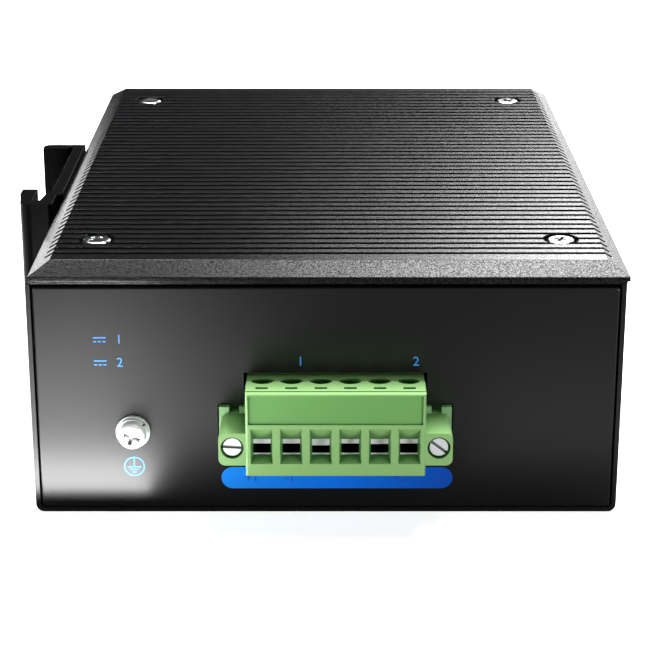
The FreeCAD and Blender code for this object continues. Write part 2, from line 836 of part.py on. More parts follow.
def terminal_plug():
    """Moulded plug: body with six wire mouths, screw holes on top, nose and two screw flanges."""
    back = header_rim - plug_fit
    front_part = across_plug(0, plug_face, back, plug_low, plug_top)
    rear_part = across_plug(0, header_rim - run_past, near_face + plug_back,
                            board_top + header_height + plug_fit, plug_top)
    body = fuse([front_part, rear_part])
    corners = edges_where(body, lambda edge: runs_along(edge, 2) and edge.BoundBox.YMax < plug_face + hair)
    body = body.makeFillet(plug_corner, corners)
    inset = header_wall + plug_fit
    nose = across_plug(nose_inset, header_rim - run_past, near_face + nose_back,
                       board_top + inset, board_top + header_height - inset)
    flange = box(terminal_x - flange_half, terminal_x + flange_half, plug_face + flange_setback, back,
                 board_top + flange_low, board_top + flange_high)
    flange = flange.makeFillet(flange_round, edges_where(flange, lambda edge: runs_along(edge, 1)))
    plug = fuse([body, nose, flange])
    # shallow label field above the mouths, lower back part of the top, groove along its front edge
    tools = [
        across_plug(label_margin, plug_face - run_past, plug_face + label_depth,
                    board_top + mouth_high + label_above_mouth, plug_top - label_below_top),
        across_plug(-run_past, near_face - top_step_front, near_face + plug_back + run_past,
                    plug_top - top_step_drop, plug_top + run_past),
        across_plug(-run_past, plug_face + top_groove_in, plug_face + top_groove_in + top_groove_width,
                    plug_top - top_groove_depth, plug_top + run_past),
    ]
    for x in pole_places():
        tools += pole_tools(x)
    for x in flange_places():
        tools += flange_tools(x)
    return cut_all(plug, tools)


def wire_clamps():
    """Steel cage of each pole; one sits lower where its screw is turned further down."""
    y0 = plug_face + mouth_depth + clamp_play
    y1 = y0 + chamber_depth - 2 * clamp_play
    z0 = board_top + clamp_low
    z1 = board_top + clamp_high
    half = clamp_half - clamp_side
    cages = []
    for x, drop in zip(pole_places(), clamp_drop):
        cage = box(x - clamp_half, x + clamp_half, y0, y1, z0, z1)
        roof = z1 - clamp_roof - drop
        window = box(x - half, x + half, y0 - run_past, y1 + run_past, z0 + clamp_floor, roof)
        hole = cylinder(clamp_screw_radius + clamp_hole_play, z1 - roof + 2 * hair,
                        x, near_face - screw_hole_out, roof - hair, (0, 0, 1))
        cages.append(cut_all(cage, [window, hole]))
    return cages


def clamp_screws():
    """Slotted screws that pull the cages up, standing in the holes on top of the plug."""
    low = board_top + clamp_high
    y = near_face - screw_hole_out
    screws = []
    for index, x in enumerate(pole_places()):
        head = cylinder(screw_hole_radius - clamp_head_play, clamp_head_height, x, y, low, (0, 0, 1))
        shank = cylinder(clamp_screw_radius, clamp_screw_reach, x, y, low - clamp_screw_reach, (0, 0, 1))
        turn = clamp_slot_first_turn + clamp_slot_turn_step * index
        slot = slot_cut(2 * screw_hole_radius, clamp_slot_width, clamp_slot_depth, turn,
                        (x, y, low + clamp_head_height), (0, 0, 1))
        screws.append(fuse([head, shank]).cut(slot))
    return screws


def flange_screws():
    """Slotted screws that hold the plug to the header."""
    face = plug_face + flange_head_in
    z = board_top + flange_screw_lift
    length = header_rim + header_nut_depth - plug_margin - face
    screws = []
    for x, turn in zip(flange_places(), flange_slot_turns):
        head = cylinder(flange_head_radius, flange_head_height, x, face, z, (0, 1, 0))
        shank = cylinder(clamp_screw_radius, length, x, face, z, (0, 1, 0))
        slot = slot_cut(3 * flange_head_radius, flange_slot_cut_width, flange_slot_cut_depth, turn,
                        (x, face, z), (0, -1, 0))
        screws.append(fuse([head, shank]).cut(slot))
    return screws


def terminal_header():
    """Board header: open box that takes the plug's nose, with a nut block at each end."""
    top = board_top + header_height
    half = flange_half + header_overhang
    body = box(terminal_x - half, terminal_x + half, header_rim, header_back, board_top, top)
    tools = [across_plug(nose_inset - plug_fit, header_rim - run_past, near_face + nose_back + plug_fit,
                         board_top + header_wall, top - header_wall)]
    z = board_top + flange_screw_lift
    for x in flange_places():
        tools.append(cylinder(clamp_screw_radius + plug_fit, header_nut_depth + run_past,
                              x, header_rim - run_past, z, (0, 1, 0)))
        tools.append(box(x - header_notch_width / 2, x + header_notch_width / 2, header_rim - run_past,
                         header_rim + header_notch_depth, top - header_notch_height, top + run_past))
    half = pin_side / 2 + pin_fit
    z = board_top + pin_low - pin_fit
    for x in pole_places():
        tools.append(box(x - half, x + half, near_face + nose_back, header_back + run_past, z, z + 2 * half))
    return cut_all(body, tools)


def header_pins():
    """Bent square pins, through the header's back wall and down into the board."""
    leg = header_back + pin_bend_out
    top = board_top + pin_low + pin_side
    half = pin_side / 2
    pins = []
    for x in pole_places():
        level = box(x - half, x + half, near_face + pin_tip_in, leg + pin_side, top - pin_side, top)
        down = box(x - half, x + half, leg, leg + pin_side, board_top, top)
        pins.append(fuse([level, down]))
    return pins


# ---- network ports ---------------------------------------------------------------------
def jack_places():
    return [jack_center_y + (index - (jack_columns - 1) / 2) * jack_pitch for index in range(jack_columns)]


def jack_rows():
    """Floor of each row of sockets, and whether its latch points up."""
    return ((jack_floor_low, False), (jack_floor_high, True))


def socket_tool(y, floor, latch_up):
    """One jack's hollow with its latch step on the outer side of the block."""
    x1 = port_front + run_past
    x0 = port_front - jack_depth
    tools = [box(x0, x1, y - jack_width / 2, y + jack_width / 2, floor, floor + jack_height)]
    for width, reach in ((latch_width, latch_height), (key_width, latch_height + key_height)):
        z0 = floor + jack_height if latch_up else floor - reach
        tools.append(box(x0, x1, y - width / 2, y + width / 2, z0, z0 + reach))
    return fuse(tools)


def socket_tools():
    return [socket_tool(y, floor, latch_up) for floor, latch_up in jack_rows() for y in jack_places()]


def jack_housing():
    half = jack_half - jack_skin
    x1 = port_front - jack_skin
    body = box(x1 - jack_block_depth, x1, jack_center_y - half, jack_center_y + half,
               board_top, jack_block_top)
    return cut_all(body, socket_tools())


def jack_shield():
    """Thin sheet over the front, sides, top and back of the jack housing."""
    half = jack_half
    shell = box(jack_back, port_front, jack_center_y - half, jack_center_y + half,
                board_top, jack_block_top + jack_skin)
    half = jack_half - jack_skin
    hollow = box(jack_back + jack_skin, port_front - jack_skin, jack_center_y - half, jack_center_y + half,
                 board_top - run_past, jack_block_top)
    return cut_all(shell, [hollow] + socket_tools())


def jack_contacts():
    """Eight spring contacts in each socket, on the side away from the latch."""
    x0 = port_front - jack_depth
    wires = []
    for floor, latch_up in jack_rows():
        z = floor + contact_lift if latch_up else floor + jack_height - contact_lift - contact_thick
        for y in jack_places():
            for index in range(contact_count):
                y0 = y + (index - (contact_count - 1) / 2) * contact_pitch - contact_width / 2
                wires.append(box(x0, x0 + contact_length, y0, y0 + contact_width, z, z + contact_thick))
    return wires


def module_cages():
    """Folded sheet cages for the optical modules, open at the front."""
    z0 = board_top + cage_lift
    cages = []
    for y in cage_places():
        half = cage_width / 2
        shell = box(cage_back, port_front, y - half, y + half, z0, z0 + cage_height)
        half -= cage_wall
        hollow = box(cage_back + cage_wall, port_front + run_past, y - half, y + half,
                     z0 + cage_wall, z0 + cage_height - cage_wall)
        pieces = [shell.cut(hollow)]
        for x in (cage_back + foot_back_in, port_front - foot_front_in):
            for side in (-1, 1):
                middle = y + side * (half + cage_wall / 2)
                pieces.append(box(x, x + foot_width, middle - cage_wall / 2, middle + cage_wall / 2,
                                  board_top, z0 + foot_overlap))
        cages.append(fuse(pieces))
    return cages


def module_connectors():
    """Edge connector at the back of each cage."""
    x0 = cage_back + cage_wall + connector_back_gap
    z0 = board_top + cage_lift + cage_wall
    blocks = []
    for y in cage_places():
        half = connector_width / 2
        block = box(x0, x0 + connector_depth, y - half, y + half, z0, z0 + connector_height)
        half = card_slot_width / 2
        slot = box(x0 + card_slot_in, x0 + connector_depth + run_past, y - half, y + half,
                   z0 + card_slot_lift, z0 + card_slot_lift + card_slot_height)
        blocks.append(block.cut(slot))
    return blocks


# ---- status lights ------------------------------------------------------------------------
def light_folds():
    """Height of each light with the place of its pipe's fold."""
    folds = []
    for index, z in enumerate(light_heights()):
        folds.append((z, front_face - light_bend_in - index * light_bend_step))
    return folds


def light_pipes():
    """Clear rods from the holes in the front wall, folded down over the lamps."""
    radius = light_radius
    foot_low = board_top + lamp_height + lamp_gap
    pipes = []
    for z, fold in light_folds():
        level = cylinder(radius, front_face + light_proud - fold, fold, light_y, z, (1, 0, 0))
        foot = cylinder(radius, z - foot_low, fold + radius, light_y, foot_low, (0, 0, 1))
        corner = box(fold, fold + 2 * radius, light_y - radius, light_y + radius, z - radius, z + radius)
        y = light_y - 2 * radius
        bevel = polygon_prism([(fold, y, z + radius), (fold, y, z + radius - light_bevel_drop),
                               (fold + light_bevel_drop, y, z + radius)], (0, 4 * radius, 0))
        pipes.append(fuse([level, foot, corner]).cut(bevel))
    return pipes


def lamp_chips():
    size = (lamp_length, lamp_width, lamp_height)
    return [board_block(fold + light_radius, light_y, size) for z, fold in light_folds()]


# ---- parts on the board ----------------------------------------------------------------------
def board_block(x, y, size):
    """Upright block on the board, centred on x and y."""
    length, width, height = size
    return box(x - length / 2, x + length / 2, y - width / 2, y + width / 2, board_top, board_top + height)


def upright_edges(block):
    return edges_where(block, lambda edge: runs_along(edge, 2))


def switch_chip():
    return board_block(chip_x, chip_y, (chip_side, chip_side, chip_height))


def thermal_pads():
    half = chip_side / 2
    pads = []
    for z in (board_top + chip_height, wall_height - pad_thick):
        pads.append(box(chip_x - half, chip_x + half, chip_y - half, chip_y + half, z, z + pad_thick))
    return pads


def heat_block():
    """Aluminium block that carries the switch chip's heat up to the ribbed cover."""
    half = block_side / 2
    block = box(chip_x - half, chip_x + half, chip_y - half, chip_y + half,
                board_top + chip_height + pad_thick, wall_height - pad_thick)
    return block.makeChamfer(block_chamfer, upright_edges(block))


def transformers():
    """Line transformers behind the network ports, one for each pair of sockets."""
    x = transformer_back + transformer_length / 2
    size = (transformer_length, transformer_width, transformer_height)
    return [board_block(x, y, size) for y in jack_places()]


def capacitors():
    """Upright electrolytic capacitors with a rolled groove near the foot."""
    x = capacitor_edge_gap + capacitor_radius - board_half_x
    first = cover_screws_y[0] + pillar_flats / 2 + capacitor_pillar_gap + capacitor_radius
    cans = []
    for index in range(capacitor_count):
        y = first + index * capacitor_pitch
        can = cylinder(capacitor_radius, capacitor_height, x, y, board_top, (0, 0, 1))
        top = board_top + capacitor_height
        can = can.makeFillet(capacitor_crown, edges_where(can, lambda edge: edge.BoundBox.ZMin > top - hair))
        groove = Part.makeTorus(capacitor_radius + capacitor_groove_out, capacitor_groove_radius,
                                FreeCAD.Vector(x, y, board_top + capacitor_groove_lift))
        cans.append(can.cut(groove))
    return cans


def inductors():
    """Shielded power inductors between the terminal and the switch chip."""
    parts = []
    for index in range(inductor_count):
        y = inductor_first_y + index * inductor_pitch
        block = board_block(inductor_x, y, (inductor_side, inductor_side, inductor_height))
        parts.append(block.makeChamfer(inductor_chamfer, upright_edges(block)))
    return parts


def input_fuse():
    """Fuse between the terminal and the power stage."""
    x = inductor_x + (inductor_side + fuse_length) / 2 + fuse_gap
    return board_block(x, inductor_first_y, (fuse_length, fuse_width, fuse_height))


def power_switch_places():
    """Near edge of each power transistor, the last one beside the far pillar."""
    last = cover_screws_y[1] - pillar_flats / 2 - power_pillar_gap - power_width
    return [last - (power_count - 1 - index) * power_pitch for index in range(power_count)]


def power_switches():
    """Surface-mounted power transistors."""
    x = power_edge_gap - board_half_x
    body_x = x + power_tab_length
    parts = []
    for y in power_switch_places():
        tab_y = y + (power_width - power_tab_width) / 2
        tab = box(x, body_x, tab_y, tab_y + power_tab_width, board_top, board_top + power_tab_height)
        body = box(body_x, body_x + power_length, y, y + power_width, board_top, board_top + power_height)
        parts.append(fuse([tab, body]))
    return parts


def power_controller():
    x = power_edge_gap + controller_side / 2 - board_half_x
    y = power_switch_places()[0] - controller_gap - controller_side / 2
    return board_block(x, y, (controller_side, controller_side, controller_height))


def crystal():
    size = (crystal_length, crystal_width, crystal_height)
    block = board_block(chip_x + crystal_shift_x, chip_y + crystal_shift_y, size)
    return block.makeFillet(crystal_round, upright_edges(block))


nodes = {
    "heat_sink_cover": heat_sink_cover,
    "cover_screws": cover_screws,
    "cover_pillars": cover_pillars,
    "case_chassis": case_chassis,
    "base_screws": base_screws,
    "terminal_panel": terminal_panel,
    "blank_panel": blank_panel,
    "panel_screws": panel_screws,
    "earth_screw": earth_screw,
    "earth_spring_washer": earth_spring_washer,
    "earth_flat_washer": earth_flat_washer,
    "earth_nut": earth_nut,
    "din_rail_clip": din_rail_clip,
    "clip_screws": clip_screws,
    "clip_nuts": clip_nuts,
    "circuit_board": circuit_board,
    "board_standoffs": board_standoffs,
    "terminal_plug": terminal_plug,
    "wire_clamps": wire_clamps,
    "clamp_screws": clamp_screws,
    "flange_screws": flange_screws,
    "terminal_header": terminal_header,
    "header_pins": header_pins,
    "jack_housing": jack_housing,
    "jack_shield": jack_shield,
    "jack_contacts": jack_contacts,
    "module_cages": module_cages,
    "module_connectors": module_connectors,
    "light_pipes": light_pipes,
    "lamp_chips": lamp_chips,
    "switch_chip": switch_chip,
    "thermal_pads": thermal_pads,
    "heat_block": heat_block,
    "transformers": transformers,
    "capacitors": capacitors,
    "inductors": inductors,
    "input_fuse": input_fuse,
    "power_controller": power_controller,
    "power_switches": power_switches,
    "crystal": crystal,
}

for name, make in nodes.items():
    save(name, make())
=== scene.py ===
import bpy
import bmesh
import math
from mathutils import Matrix, Quaternion, Vector


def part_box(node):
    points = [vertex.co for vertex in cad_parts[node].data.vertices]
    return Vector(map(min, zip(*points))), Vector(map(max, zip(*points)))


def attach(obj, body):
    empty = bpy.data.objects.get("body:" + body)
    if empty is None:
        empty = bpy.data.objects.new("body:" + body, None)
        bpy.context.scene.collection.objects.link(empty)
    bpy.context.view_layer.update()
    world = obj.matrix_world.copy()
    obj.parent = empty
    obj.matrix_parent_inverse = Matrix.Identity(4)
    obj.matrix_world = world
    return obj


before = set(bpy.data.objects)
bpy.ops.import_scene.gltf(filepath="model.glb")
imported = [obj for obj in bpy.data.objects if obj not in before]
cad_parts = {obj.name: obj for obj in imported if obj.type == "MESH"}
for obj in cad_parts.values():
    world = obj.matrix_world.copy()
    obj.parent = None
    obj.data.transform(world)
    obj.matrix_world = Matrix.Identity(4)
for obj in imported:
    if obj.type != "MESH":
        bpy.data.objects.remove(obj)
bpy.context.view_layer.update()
print("frame loaded:", len(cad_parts), "nodes")

mm = 0.001


# colours and shader nodes
def linearColour(hexText):
    # sRGB hex to the linear values that sockets take
    channels = []
    for start in (0, 2, 4):
        value = int(hexText[start:start + 2], 16) / 255
        channels.append(value / 12.92 if value <= 0.04045 else ((value + 0.055) / 1.055) ** 2.4)
    return (*channels, 1.0)


def feed(tree, node, inputs):
    # an input is a value, or the output socket that feeds it
    for name, value in inputs.items():
        socket = node.inputs[name]
        if isinstance(value, bpy.types.NodeSocket):
            tree.links.new(value, socket)
        else:
            socket.default_value = value


def addNode(tree, kind, inputs=None, **settings):
    # one node with its settings and inputs
    node = tree.nodes.new(kind)
    for name, value in settings.items():
        setattr(node, name, value)
    feed(tree, node, inputs or {})
    return node


def newMaterial(name):
    # an empty material, with its shader and the coordinates that its patterns use
    material = bpy.data.materials.new(name)
    material.use_nodes = True
    tree = material.node_tree
    tree.nodes.clear()
    output = addNode(tree, "ShaderNodeOutputMaterial")
    shader = addNode(tree, "ShaderNodeBsdfPrincipled")
    tree.links.new(shader.outputs["BSDF"], output.inputs["Surface"])
    place = addNode(tree, "ShaderNodeTexCoord").outputs["Object"]
    return material, tree, shader, place


def grain(tree, place, sizeMm, detail):
    # noise whose lumps are about sizeMm across
    inputs = {"Vector": place, "Scale": 1 / (sizeMm * mm), "Detail": detail}
    return addNode(tree, "ShaderNodeTexNoise", inputs).outputs["Fac"]


def painted(tree, mask, colour, under):
    # a colour laid over what lies under it, where the mask is 1
    node = addNode(tree, "ShaderNodeMix", data_type="RGBA")
    tree.links.new(mask, node.inputs[0])
    tree.links.new(under, node.inputs[6])
    node.inputs[7].default_value = linearColour(colour)
    return node.outputs[2]


def mixed(tree, factor, colourA, colourB):
    # colour A where the factor is 0, colour B where it is 1
    base = addNode(tree, "ShaderNodeRGB").outputs[0]
    base.default_value = linearColour(colourA)
    return painted(tree, factor, colourB, base)


def ramped(tree, factor, low, high):
    # stretches low..high to 0..1
    inputs = {"Value": factor, "From Min": low, "From Max": high}
    return addNode(tree, "ShaderNodeMapRange", inputs).outputs["Result"]


def spread(tree, factor, low, high):
    # maps 0..1 to low..high
    inputs = {"Value": factor, "To Min": low, "To Max": high}
    return addNode(tree, "ShaderNodeMapRange", inputs).outputs["Result"]


def between(tree, value, low, high):
    # 1 where a length in metres lies between two lengths in millimetres
    above = addNode(tree, "ShaderNodeMath", {0: value, 1: low * mm}, operation="GREATER_THAN").outputs[0]
    below = addNode(tree, "ShaderNodeMath", {0: value, 1: high * mm}, operation="LESS_THAN").outputs[0]
    return addNode(tree, "ShaderNodeMath", {0: above, 1: below}, operation="MULTIPLY").outputs[0]


def bumped(tree, height, heightMm, softEdgeMm=0.0):
    # relief of a given height, with sharp edges rounded off for the light
    inputs = {"Height": height, "Strength": 1.0, "Distance": heightMm * mm}
    if softEdgeMm:
        edge = addNode(tree, "ShaderNodeBevel", {"Radius": softEdgeMm * mm}, samples=4)
        inputs["Normal"] = edge.outputs["Normal"]
    return addNode(tree, "ShaderNodeBump", inputs).outputs["Normal"]


crevice = {"open": 0.72, "deepShade": 0.3}    # share of open sky where the shade begins and where it is full


def shaded(tree, colour, shade, reachMm):
    # deepens a colour inside slots and recesses, where hardly any light gets in
    node = addNode(tree, "ShaderNodeAmbientOcclusion", {"Distance": reachMm * mm}, samples=8)
    depth = ramped(tree, node.outputs["AO"], crevice["open"], crevice["deepShade"])
    return painted(tree, depth, shade, colour)


# finishes
noiseRange = (0.3, 0.7)    # nearly all of a noise lies between these

coverLook = {
    "dark": "080809", "light": "171719", "gritLow": 0.35, "gritHigh": 0.65,
    "pebbleMm": 0.3, "fineMm": 0.1, "pebbleHeightMm": 0.008, "edgeMm": 0.3,
    "roughLow": 0.14, "roughHigh": 0.21, "glintLow": 0.22, "glintHigh": 0.78,
}


def texturedPowderCoat():
    # baked powder on the cast cover: black, with a sparkling pebble that breaks up every reflection
    look = coverLook
    material, tree, shader, place = newMaterial("texturedPowderCoat")
    pebble = grain(tree, place, look["pebbleMm"], 1.0)
    fine = ramped(tree, grain(tree, place, look["fineMm"], 1.0), *noiseRange)
    grit = ramped(tree, pebble, look["gritLow"], look["gritHigh"])
    height = ramped(tree, pebble, *noiseRange)
    feed(tree, shader, {
        "Base Color": mixed(tree, grit, look["dark"], look["light"]),
        "Roughness": spread(tree, fine, look["roughLow"], look["roughHigh"]),
        "Specular IOR Level": spread(tree, grit, look["glintLow"], look["glintHigh"]),
        "Normal": bumped(tree, height, look["pebbleHeightMm"], look["edgeMm"]),
    })
    return material


sheetLook = {
    "dark": "060607", "light": "09090B", "patchMm": 14.0, "pebbleMm": 0.5, "pebbleHeightMm": 0.01,
    "edgeMm": 0.12, "roughLow": 0.3, "roughHigh": 0.4,
}


def sheetPowderCoat():
    # thin satin powder coat on the folded steel, smoother than the cover's
    look = sheetLook
    material, tree, shader, place = newMaterial("sheetPowderCoat")
    pebble = grain(tree, place, look["pebbleMm"], 2.0)
    patch = grain(tree, place, look["patchMm"], 1.0)
    feed(tree, shader, {
        "Base Color": mixed(tree, patch, look["dark"], look["light"]),
        "Roughness": spread(tree, pebble, look["roughLow"], look["roughHigh"]),
        "Normal": bumped(tree, pebble, look["pebbleHeightMm"], look["edgeMm"]),
    })
    return material


clipLook = {
    "dark": "030303", "light": "060606", "lineMm": 0.25, "lineHeightMm": 0.004, "edgeMm": 0.15,
    "roughLow": 0.24, "roughHigh": 0.34, "glint": 0.08,
    "alongZ": 0.02,    # scale along the extrusion, which draws the grain out into lines
}


def blackAnodised():
    # extruded aluminium, dyed black: die lines run along the extrusion
    look = clipLook
    material, tree, shader, place = newMaterial("blackAnodised")
    inputs = {"Vector": place, "Scale": (1.0, 1.0, look["alongZ"])}
    stretched = addNode(tree, "ShaderNodeMapping", inputs).outputs["Vector"]
    lines = grain(tree, stretched, look["lineMm"], 2.0)
    feed(tree, shader, {
        "Base Color": mixed(tree, lines, look["dark"], look["light"]),
        "Roughness": spread(tree, lines, look["roughLow"], look["roughHigh"]),
        "Specular IOR Level": look["glint"],
        "Normal": bumped(tree, lines, look["lineHeightMm"], look["edgeMm"]),
    })
    return material


metalLook = {
    "cloudMm": 1.5, "fineMm": 0.12, "fineHeightMm": 0.004, "edgeMm": 0.1,
    # slot is painted shade: the near-black laid into slots and recesses
    "slot": "0C0C0C", "slotReachMm": 0.7,
}
# dark and light colour of the clouds, lowest and highest roughness, and how metallic the surface is
metals = {
    "brightNickel": ("D6D6D4", "E8E8E6", 0.14, 0.24, 1.0),
    "satinNickel": ("DFE2E2", "EEF0F0", 0.2, 0.32, 0.2),
    "brightZinc": ("DEE2E4", "F2F4F4", 0.26, 0.4, 0.5),
    "tinnedSheet": ("B5B6B6", "CFCFCD", 0.28, 0.42, 1.0),
    "giltBronze": ("C8963C", "E3B45A", 0.18, 0.3, 1.0),
    "milledAluminium": ("B4B6B9", "D0D1D3", 0.3, 0.45, 1.0),
}


def platedMetal(name, dark, light, roughLow, roughHigh, metallic):
    # plated small parts: bright, faintly clouded, with a soft edge, and painted shade in their slots and
    # recesses
    look = metalLook
    material, tree, shader, place = newMaterial(name)
    cloud = grain(tree, place, look["cloudMm"], 3.0)
    fine = grain(tree, place, look["fineMm"], 1.0)
    feed(tree, shader, {
        # painted shade: slots and recesses go towards near-black by ambient occlusion
        "Base Color": shaded(tree, mixed(tree, cloud, dark, light), look["slot"], look["slotReachMm"]),
        "Metallic": metallic,
        "Roughness": spread(tree, cloud, roughLow, roughHigh),
        "Normal": bumped(tree, fine, look["fineHeightMm"], look["edgeMm"]),
    })
    return material


plasticLook = {
    "cloudMm": 6.0, "skinMm": 0.2, "skinHeightMm": 0.006, "edgeMm": 0.12,
    "smoother": 0.05, "rougher": 0.08,    # how far the skin strays from the plastic's roughness
}
# dark and light colour of the clouds, and roughness
plastics = {
    "headerNylon": ("84B07A", "8CB983", 0.45),
    "blackResin": ("121213", "1A1A1B", 0.5),
    "pressedFerrite": ("222222", "2C2C2C", 0.7),
    "shrunkSleeve": ("101018", "14151E", 0.3),
    "greySilicone": ("646C79", "6E7684", 0.8),
    "lampWhite": ("E2DFD2", "EDEBE2", 0.4),
}


def mouldedPlastic(name, dark, light, roughness):
    # injection-moulded plastic: faint flow clouds under a fine spark-eroded skin
    look = plasticLook
    material, tree, shader, place = newMaterial(name)
    cloud = grain(tree, place, look["cloudMm"], 2.0)
    skin = grain(tree, place, look["skinMm"], 2.0)
    feed(tree, shader, {
        "Base Color": mixed(tree, cloud, dark, light),
        "Roughness": spread(tree, skin, roughness - look["smoother"], roughness + look["rougher"]),
        "Normal": bumped(tree, skin, look["skinHeightMm"], look["edgeMm"]),
    })
    return material


# deepShade and glintInShade are painted shade inside the cage
clampLook = {
    "bright": "FFFFFF", "deepShade": "08090A", "brightMm": 0.15, "cloudMm": 1.5,
    "roughLow": 0.35, "roughHigh": 0.5, "glintFront": 0.5, "glintInShade": 0.05,
}


def clampPlate():
    # plated cage: bright at its front edge; painted shade makes it dark and dull down inside the pole
    look = clampLook
    material, tree, shader, place = newMaterial("clampPlate")
    cloud = grain(tree, place, look["cloudMm"], 2.0)
    inwards = addNode(tree, "ShaderNodeSeparateXYZ", {"Vector": place}).outputs["Y"]
    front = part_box("wire_clamps")[0][1]
    bright = look["brightMm"] * mm
    # painted shade: just behind the front edge the plate turns near-black and reflects less
    depth = ramped(tree, inwards, front + bright, front + 2 * bright)
    feed(tree, shader, {
        "Base Color": mixed(tree, depth, look["bright"], look["deepShade"]),
        "Roughness": spread(tree, cloud, look["roughLow"], look["roughHigh"]),
        "Specular IOR Level": spread(tree, depth, look["glintFront"], look["glintInShade"]),
    })
    return material


plugLook = {
    "dark": "86B46F", "light": "8EBB77", "cloudMm": 5.0, "shade": "226E20", "shadeMm": 4.5,
    "skinMm": 0.2, "skinHeightMm": 0.006, "edgeMm": 0.14, "roughLow": 0.35, "roughHigh": 0.5,
    # painted shade: field darkens the recessed marking field, slot the inside of the test slots
    "field": "6DA55A",
    "fieldInMm": (0.2, 0.6),        # in from the plug's face
    "fieldUpMm": (20.9, 26.35),     # up from the base
    "slot": "35602B",
    "slotInMm": (2.79, 3.66),
    "slotDownMm": (1.4, 0.12),      # down from the plug's top
}


def terminalNylon():
    # pale green nylon; painted shade deepens the tone of the recessed marking field, the inside of the test
    # slots and its hollows
    look = plugLook
    material, tree, shader, place = newMaterial("terminalNylon")
    cloud = grain(tree, place, look["cloudMm"], 2.0)
    skin = grain(tree, place, look["skinMm"], 2.0)
    axes = addNode(tree, "ShaderNodeSeparateXYZ", {"Vector": place}).outputs
    low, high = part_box("terminal_plug")
    face, top = low[1] / mm, high[2] / mm
    slotZ = [top - down for down in look["slotDownMm"]]
    tone = mixed(tree, cloud, look["dark"], look["light"])
    # painted shade laid over the marking field and into the test slots
    for colour, inside, rangeZ in ((look["field"], look["fieldInMm"], look["fieldUpMm"]),
                                   (look["slot"], look["slotInMm"], slotZ)):
        alongY = between(tree, axes["Y"], face + inside[0], face + inside[1])
        alongZ = between(tree, axes["Z"], *rangeZ)
        mask = addNode(tree, "ShaderNodeMath", {0: alongY, 1: alongZ}, operation="MULTIPLY")
        tone = painted(tree, mask.outputs[0], colour, tone)
    feed(tree, shader, {
        # painted shade in hollows and on the flange tops beside the panel
        "Base Color": shaded(tree, tone, look["shade"], look["shadeMm"]),
        "Roughness": spread(tree, skin, look["roughLow"], look["roughHigh"]),
        "Normal": bumped(tree, skin, look["skinHeightMm"], look["edgeMm"]),
    })
    return material


boardLook = {
    "bare": "0B3A1E", "copper": "1B5A30", "fieldMm": 6.0, "trackShare": 0.012, "trackHeightMm": 0.02,
    "rough": 0.25,
}


def solderMask():
    # glossy green lacquer over the copper of a circuit board
    look = boardLook
    material, tree, shader, place = newMaterial("solderMask")
    inputs = {"Vector": place, "Scale": 1 / (look["fieldMm"] * mm), "Mortar Size": look["trackShare"]}
    tracks = addNode(tree, "ShaderNodeTexBrick", inputs).outputs["Fac"]
    feed(tree, shader, {
        "Base Color": mixed(tree, tracks, look["bare"], look["copper"]),
        "Roughness": look["rough"],
        "Normal": bumped(tree, tracks, look["trackHeightMm"]),
    })
    return material


acrylicLook = {
    "tint": "E8EEEA", "hazeMm": 0.8, "roughLow": 0.05, "roughHigh": 0.14, "clear": 0.8, "bending": 1.49,
}


def clearAcrylic():
    # polished light pipe
    look = acrylicLook
    material, tree, shader, place = newMaterial("clearAcrylic")
    haze = grain(tree, place, look["hazeMm"], 2.0)
    feed(tree, shader, {
        "Base Color": linearColour(look["tint"]),
        "Roughness": spread(tree, haze, look["roughLow"], look["roughHigh"]),
        "Transmission Weight": look["clear"],
        "IOR": look["bending"],
    })
    return material


inkLook = {"coverMm": 0.25, "coverLow": 0.2, "coverHigh": 0.8, "rough": 0.5}
inks = {"skyInk": ("2F86CC", "3F96DC"), "whiteInk": ("C8CCD0", "D8DBDD"), "navyInk": ("0A3CA8", "0C44B8")}


def printedInk(name, dark, light):
    # screen-printed epoxy ink, a touch uneven in its cover
    look = inkLook
    material, tree, shader, place = newMaterial(name)
    cover = ramped(tree, grain(tree, place, look["coverMm"], 2.0), look["coverLow"], look["coverHigh"])
    feed(tree, shader, {"Base Color": mixed(tree, cover, dark, light), "Roughness": look["rough"]})
    return material


# partly painted light: the middle stop is lightened where the plug's shadow falls, and the band darkens to
# the right as the light falls off
bandLook = {"left": "1682E6", "middle": "036EE8", "right": "0549B0", "rough": 0.5, "glint": 0.15}


def bandInk():
    # printed blue band; its ramp from light at the left to deep at the right, with a bright middle under
    # the plug's shadow, is partly painted light and shade
    look = bandLook
    material, tree, shader, place = newMaterial("bandInk")
    low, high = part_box("terminal_plug")
    along = addNode(tree, "ShaderNodeSeparateXYZ", {"Vector": place}).outputs["X"]
    ramp = addNode(tree, "ShaderNodeValToRGB", {"Fac": ramped(tree, along, low[0], high[0])})
    stops = ramp.color_ramp.elements
    stops[0].color = linearColour(look["left"])
    stops[1].color = linearColour(look["right"])
    stops.new(0.5).color = linearColour(look["middle"])
    feed(tree, shader, {"Base Color": ramp.outputs["Color"], "Roughness": look["rough"],
                        "Specular IOR Level": look["glint"]})
    return material


made = [texturedPowderCoat(), sheetPowderCoat(), blackAnodised(), clampPlate(), terminalNylon(),
        solderMask(), clearAcrylic(), bandInk()]
made += [platedMetal(name, *values) for name, values in metals.items()]
made += [mouldedPlastic(name, *values) for name, values in plastics.items()]
made += [printedInk(name, *values) for name, values in inks.items()]
finishes = {material.name: material for material in made}

